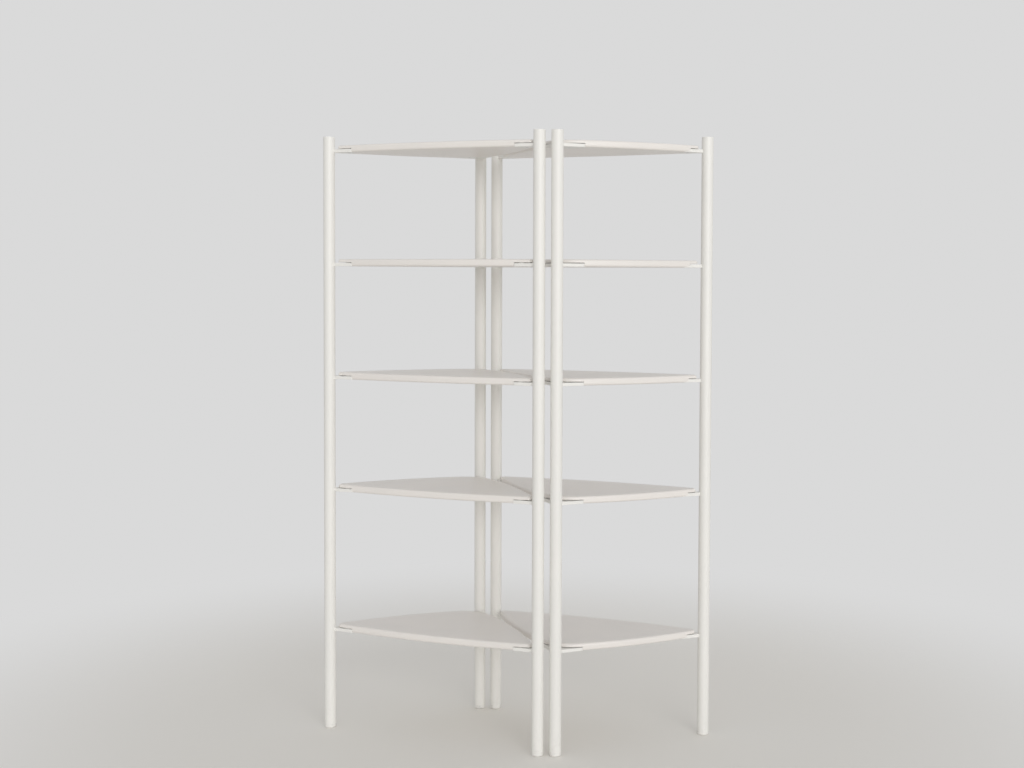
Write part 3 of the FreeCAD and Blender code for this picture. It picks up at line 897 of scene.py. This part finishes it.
@dataclass
class BracketSet(Assembly):
    """Thirty bracket plates with countersunk holes, their spacer rings, and the welds that hold them."""

    spacer_height: float = 2 * MM
    spacer_radius: float = 9 * MM
    edge_round: float = 1 * MM
    arc_steps: int = 6
    flat: float = 1.8 * MM
    bury: float = 1 * MM
    hole_radius: float = 2.5 * MM
    sink_radius: float = 4.75 * MM
    hole_distance: float = 62 * MM
    hole_spacing: float = 22 * MM
    hole_sides: int = 48
    past: float = 1 * MM
    sunk: float = 0.2 * MM
    bead: float = 1.6 * MM
    least_bead: float = 0.02 * MM
    least_opening: float = 1e-6
    bead_steps: int = 40
    bead_arc_steps: int = 7

    @property
    def thickness(self) -> float:
        """A plate's thickness: the rebate's depth less the spacers."""
        return self.plan.rebate_depth - self.spacer_height

    def hole(self) -> Surface:
        """A cutter for one hole: a cone that opens downwards, under a straight shank."""
        hole, sink, past = self.hole_radius, self.sink_radius, self.past
        profile = [(sink + past, -past), (hole, sink - hole), (hole, self.thickness + past)]
        return revolved(np.array(profile), self.hole_sides)

    def plate(self, shape: BracketShape) -> Mesh:
        """A plate with rounded edges and two countersunk holes, its near end just inside the tube wall.

        Args:
            shape: the bracket's plan.

        Returns:
            The plate's mesh, in the bracket's frame.
        """
        high = self.thickness
        corners = [(self.flat, 0), (0, 0), (0, high), (self.flat, high)]
        rounds = [0, self.edge_round, self.edge_round, 0]
        profile = rounded(corners, rounds, self.arc_steps, self.edge_round / 2)
        hollow = self.plan.post_radius - self.bury
        rings = np.stack([shape.ring(hollow, -inset) for inset in profile[:, 0]])
        cutters = [self.hole().moved(place).mesh("hole") for place in self.screw_places()]
        return carved(stacked(rings, profile[:, 1]).mesh("plate"), cutters)

    def screw_places(self) -> list[Matrix]:
        """The places of a bracket's two screws, in the bracket's frame."""
        return [
            Matrix.Translation((self.hole_distance, self.hole_spacing / 2 * side, 0)) for side in (-1, 1)]

    def spacers(self) -> Surface:
        """A bracket's two spacers: square sections turned round its screws, between plate and shelf."""
        low, high = self.thickness - self.sunk, self.plan.rebate_depth
        inner, outer = self.hole_radius, self.spacer_radius
        section = np.array([(outer, low), (outer, high), (inner, high), (inner, low)])
        ring = revolved(section, self.hole_sides, closed=True)
        return Surface.gathered([ring.moved(place) for place in self.screw_places()])

    def weld(self, shape: BracketShape) -> Surface:
        """The two weld beads of one bracket, above and below the plate.

        At the angle a from the middle line the plate's flat face ends at the radius
        (side offset - edge round) / sin(a - flare), so the bead's leg is that less the tube's
        radius, up to its full size. Its section is hollow: an arc about (radius + leg, face + leg),
        closed by a point sunk in tube and plate.

        Args:
            shape: the bracket's plan.

        Returns:
            Both beads, in the bracket's frame.
        """
        tube = self.plan.post_radius
        offset = shape.side - self.edge_round
        flare = math.radians(shape.flare)
        limit = flare + math.asin(offset / tube)
        angle = np.linspace(-limit, limit, self.bead_steps)
        opening = np.maximum(np.abs(angle) - flare, self.least_opening)
        leg = np.clip(offset / np.sin(opening) - tube, self.least_bead, self.bead)[:, None]
        sunk = np.full_like(leg, -self.sunk)
        turn = np.linspace(math.pi, 1.5 * math.pi, self.bead_arc_steps)[None]
        radial = np.concatenate([leg * (1 + np.cos(turn)), sunk], axis=1) + tube
        rise = np.concatenate([leg * (1 + np.sin(turn)), sunk], axis=1)
        ahead, aside = np.cos(angle)[:, None], np.sin(angle)[:, None]
        above = capped(np.stack([radial * ahead, radial * aside, rise], axis=-1))
        raised = Matrix.Translation((0, 0, self.thickness))
        return Surface.gathered([above.moved(raised), above.flipped()])

    def build(self) -> None:
        """Sets a plate at every post and level, and each unit's welds and spacers as one piece each."""
        shapes = (ACUTE_BRACKET, SQUARE_BRACKET)
        plates = {shape: smoothed(self.plate(shape)) for shape in shapes}
        welds = {shape: self.weld(shape) for shape in shapes}
        spacers = self.spacers()
        for unit in Unit:
            beads, rings = [], []
            for post, corner in unit.posts.items():
                shape = corner.bracket
                for level, height in enumerate(self.plan.shelf_heights, start=1):
                    place = self.plan.post_place(unit, post, height, unit.turn + corner.bearing)
                    name = f"{unit.label}_{post}_{level}"
                    mesh = self.copy(plates[shape], place)
                    self.add(f"corner_plate_{name}", mesh, FRAME_BODY, f"bracket_{name}")
                    beads.append(welds[shape].moved(place))
                    rings.append(spacers.moved(place))
            for name, parts in (("weld_beads", beads), ("spacer_rings", rings)):
                mesh = smoothed(Surface.gathered(parts).mesh(name))
                self.add(f"{name}_{unit.label}", mesh, FRAME_BODY)


@dataclass
class ShelfSet(Assembly):
    """Ten equal shelves: rounded panels with a rebate under each corner for its bracket."""

    leg_edge_radius: float = 1.2
    long_edge_radius: float = 2.4
    blunt_edge_radius: float = 50.0
    post_gap: float = 11 * MM
    acute_round: float = 9 * MM
    square_round: float = 100 * MM
    top_round: float = 7 * MM
    bottom_round: float = 7 * MM
    rebate_gap: float = 0.4 * MM
    flat: float = 8.8 * MM
    support: float = 1.5 * MM
    below: float = 2 * MM
    edge_steps: int = 64
    blunt_steps: int = 6
    corner_steps: int = 30
    arc_steps: int = 12

    def ring(self, inset: float) -> np.ndarray:
        """A shelf's plan: three outward-bowed edges and two blunt ends, joined by tangent corner arcs.

        Each bowed edge is level with its posts' outer faces at its middle. A blunt end crosses an
        acute corner's bisector a gap away from the post, on an arc so wide that it is straight.
        A corner arc of radius c between arcs of radii R and S has its centre at R - c and S - c
        from theirs. An inset makes every radius smaller by as much.

        Args:
            inset: distance inwards from the shelf's edge.

        Returns:
            The outline's points, anticlockwise.
        """
        half = self.plan.leg / 2
        outward = self.plan.post_radius
        leg_centre = outward - self.leg_edge_radius
        long_centre = (self.long_edge_radius - outward) / math.sqrt(2) - half
        square, west, south = (self.corner(corner) for corner in Corner)
        edges = [
            (np.array([long_centre, long_centre]), self.long_edge_radius, self.edge_steps),
            (self.blunt_centre(Corner.SOUTH), self.blunt_edge_radius, self.blunt_steps),
            (np.array([leg_centre, -half]), self.leg_edge_radius, self.edge_steps),
            (np.array([-half, leg_centre]), self.leg_edge_radius, self.edge_steps),
            (self.blunt_centre(Corner.WEST), self.blunt_edge_radius, self.blunt_steps),
        ]
        posts = [south, south, square, west, west]
        rounds = [self.acute_round] * 2 + [self.square_round] + [self.acute_round] * 2
        following = edges[1:] + edges[:1]
        middles = [
            self.crossing((first[0], first[1] - bend), (second[0], second[1] - bend), post)
            for first, second, bend, post in zip(edges, following, rounds, posts)]
        full = 2 * math.pi
        arcs = []
        for i, (centre, radius, steps) in enumerate(edges):
            start, end = bearing(centre, middles[i - 1]), bearing(centre, middles[i])
            turn = (bearing(following[i][0], middles[i]) - end) % full
            arcs.append(arc(centre, radius - inset, start, start + (end - start) % full, steps))
            arcs.append(arc(middles[i], rounds[i] - inset, end, end + turn, self.corner_steps))
        return np.concatenate(arcs)

    def corner(self, corner: Corner) -> np.ndarray:
        """The place of a corner's post, measured from the right-angled corner's post."""
        return self.plan.leg * np.array(corner.place)

    def blunt_centre(self, corner: Corner) -> np.ndarray:
        """The centre of a blunt end's wide arc, on its corner's bisector."""
        turn = math.radians(corner.bearing)
        reach = self.plan.post_radius + self.post_gap + self.blunt_edge_radius
        return self.corner(corner) + reach * np.array([math.cos(turn), math.sin(turn)])

    @staticmethod
    def crossing(first: Circle, second: Circle, near: np.ndarray) -> np.ndarray:
        """The crossing of two circles that lies nearest to a point.

        Args:
            first: one circle's centre and radius.
            second: the other's.
            near: the point.

        Returns:
            The crossing.
        """
        centre, radius = first
        between = second[0] - centre
        gap = float(np.linalg.norm(between))
        along = (gap ** 2 + radius ** 2 - second[1] ** 2) / (2 * gap)
        rise = math.sqrt(radius ** 2 - along ** 2)
        foot = centre + between * (along / gap)
        across = np.array([-between[1], between[0]]) * (rise / gap)
        return min((foot + across, foot - across), key=lambda point: math.dist(point, near))

    def rebates(self) -> list[Mesh]:
        """Cutters for the three rebates: each bracket's outline with a gap round it."""
        heights = np.array([-self.below, self.plan.rebate_depth])
        cutters = []
        for corner in Corner:
            ring = corner.bracket.ring(self.plan.post_radius, self.rebate_gap)
            stand = Matrix.Translation((*self.corner(corner), 0.0))
            place = stand @ Matrix.Rotation(math.radians(corner.bearing), 4, "Z")
            cutters.append(stacked(np.stack([ring, ring]), heights).moved(place).mesh("rebate"))
        return cutters

    def panel(self) -> Mesh:
        """One shelf: its outline stacked along the rounded edge's section, less the rebates."""
        high = self.plan.shelf_thickness
        corners = [(self.flat, 0), (0, 0), (0, high), (self.flat, high)]
        rounds = [0, self.bottom_round, self.top_round, 0]
        profile = rounded(corners, rounds, self.arc_steps, self.support)
        rings = np.stack([self.ring(inset) for inset in profile[:, 0]])
        return carved(stacked(rings, profile[:, 1]).mesh("panel"), self.rebates())

    def build(self) -> None:
        """Lays a shelf at every level of both units."""
        panel = smoothed(self.panel())
        for unit in Unit:
            for level, height in enumerate(self.plan.shelf_heights, start=1):
                name = f"{unit.label}_{level}"
                mesh = self.copy(panel, self.plan.shelf_place(unit, height))
                self.add(f"panel_{name}", mesh, FRAME_BODY, f"shelf_{name}")


@dataclass
class Hardware:
    """The frame's own screws and foot inserts, which keep their shape and get a finish."""

    coat: Coat
    nodes: tuple[str, ...] = ("shelf_screws", "foot_inserts")

    def dress(self) -> None:
        """Gives each node the finish."""
        for name in self.nodes:
            for slot in frame["nodes"][name].material_slots:
                slot.material = self.coat.material
            log.info("%s: dressed in %s", name, self.coat.material.name)


# The studio
@dataclass(frozen=True)
class PhotoCamera:
    """The camera at the photograph's viewing angle, for a frame of four by three."""

    place: Place = (-1.583, -4.022, 1.420)
    heading: float = 23.82
    pitch: float = 2.29
    roll: float = 0.27
    lens: float = 49.01
    shift: Point = (-0.06, -0.05)

    def build(self) -> None:
        """Sets up the camera: turned by its heading, tipped down by its pitch, and rolled."""
        data = bpy.data.cameras.new("camera")
        data.lens = self.lens
        data.shift_x, data.shift_y = self.shift
        camera = bpy.data.objects.new("camera", data)
        turn = (
            Matrix.Rotation(math.radians(-self.heading), 4, "Z")
            @ Matrix.Rotation(math.radians(90 - self.pitch), 4, "X")
            @ Matrix.Rotation(math.radians(self.roll), 4, "Z"))
        camera.matrix_world = Matrix.Translation(self.place) @ turn
        link(camera)
        bpy.context.scene.camera = camera


@dataclass(frozen=True)
class SoftLamp:
    """A broad far-off lamp that shines evenly from one direction."""

    name: str
    towards: Place
    breadth: float
    strength: float
    colour: Colour = (1.0, 1.0, 1.0)

    def build(self) -> None:
        """Hangs the lamp: its beam runs back along the direction towards it."""
        data = bpy.data.lights.new(self.name, "SUN")
        data.angle = math.radians(self.breadth)
        data.energy = self.strength
        data.color = self.colour
        lamp = bpy.data.objects.new(self.name, data)
        lamp.matrix_world = Vector(self.towards).to_track_quat("Z", "Y").to_matrix().to_4x4()
        link(lamp)


@dataclass(frozen=True)
class Studio:
    """A plain pale floor that fades into a pale background, under soft lamps."""

    floor_colour: Colour = (0.90, 0.88, 0.835)
    floor_roughness: float = 0.8
    backdrop: Colour = (0.70, 0.70, 0.70)
    ambient: Colour = (0.545, 0.545, 0.55)
    floor_level: float = -0.3 * MM
    floor_radius: float = 30.0
    floor_rings: int = 40
    floor_sides: int = 96
    fade: Point = (0.9, 2.6)
    lamps: tuple[SoftLamp, ...] = (
        SoftLamp("key_lamp", (-0.3, -3.9, 0.5), 36.0, 1.51, (1.0, 0.995, 0.985)),
        SoftLamp("top_lamp", (0.4, -0.6, 3.3), 60.0, 0.05),
    )

    @staticmethod
    def seen(nodes: NodeWriter) -> NodeSocket:
        """Whether a ray comes straight from the camera, a gloss or a clear piece."""
        path = nodes.node("ShaderNodeLightPath").outputs
        shown = nodes.math("MAXIMUM", path["Is Camera Ray"], path["Is Glossy Ray"])
        return nodes.math("MAXIMUM", shown, path["Is Transmission Ray"])

    def build_world(self) -> None:
        """Lights the room evenly, and shows the backdrop's colour where nothing stands."""
        world = bpy.data.worlds.new("studio")
        world.use_nodes = True
        bpy.context.scene.world = world
        nodes = NodeWriter(world.node_tree)
        nodes.tree.nodes.clear()
        light = nodes.node("ShaderNodeBackground", {"Color": opaque(self.ambient)})
        shown = nodes.node("ShaderNodeBackground", {"Color": opaque(self.backdrop)})
        choice = {0: self.seen(nodes), 1: light.outputs[0], 2: shown.outputs[0]}
        mix = nodes.node("ShaderNodeMixShader", choice)
        nodes.node("ShaderNodeOutputWorld", {"Surface": mix.outputs[0]})

    def floor_material(self) -> Material:
        """The floor's paint, which fades into the backdrop with its distance from the middle."""
        nodes = MaterialWriter("floor_paint")
        nodes.fill(nodes.shader, {
            "Base Color": opaque(self.floor_colour), "Roughness": self.floor_roughness})
        distance = nodes.node("ShaderNodeVectorMath", {0: nodes.place}, operation="LENGTH")
        share = nodes.ramp(distance.outputs["Value"], self.fade)
        faded = nodes.math("MULTIPLY", share, self.seen(nodes))
        glow = nodes.node("ShaderNodeEmission", {"Color": opaque(self.backdrop)})
        choice = {0: faded, 1: nodes.shader.outputs[0], 2: glow.outputs[0]}
        mix = nodes.node("ShaderNodeMixShader", choice)
        nodes.fill(nodes.output, {"Surface": mix.outputs[0]})
        return nodes.material

    def floor(self) -> Surface:
        """A level disc just under the feet: points (r cos a, r sin a, level), with r as a step squared."""
        rings, sides = self.floor_rings, self.floor_sides
        radii = self.floor_radius * np.linspace(1, 0, rings, endpoint=False)[:, None] ** 2
        angle = np.linspace(0, 2 * np.pi, sides, endpoint=False)
        level = np.full((rings, sides), self.floor_level)
        points = np.stack([radii * np.cos(angle), radii * np.sin(angle), level], axis=-1)
        faces = grid_faces(rings, sides).tolist()
        faces.append((np.arange(sides) + (rings - 1) * sides).tolist())
        return Surface(points.reshape(-1, 3), faces)

    def build(self) -> None:
        """Lays the floor, and sets up the lamps and the world."""
        mesh = self.floor().mesh("floor")
        mesh.materials.append(self.floor_material())
        floor = bpy.data.objects.new("floor", mesh)
        link(floor)
        self.build_world()
        for lamp in self.lamps:
            lamp.build()


def main() -> None:
    """Builds and dresses every piece, then the studio, and reports each piece."""
    logging.basicConfig(level=logging.INFO, format="%(name)s %(message)s")
    bpy.context.scene.view_settings.view_transform = "Standard"
    plan = PairPlan.from_frame()
    effects = Effects()
    posts = POST_COAT.coat(effects)
    zinc = ZincPlate().coat(effects)
    PostSet(plan, posts).build()
    FootSet(plan, FOOT_COAT.coat(effects), zinc).build()
    BracketSet(plan, posts).build()
    ShelfSet(plan, SHELF_LACQUER.coat(effects)).build()
    Hardware(zinc).dress()
    Studio().build()
    PhotoCamera().build()


if __name__ == "__main__":
    main()
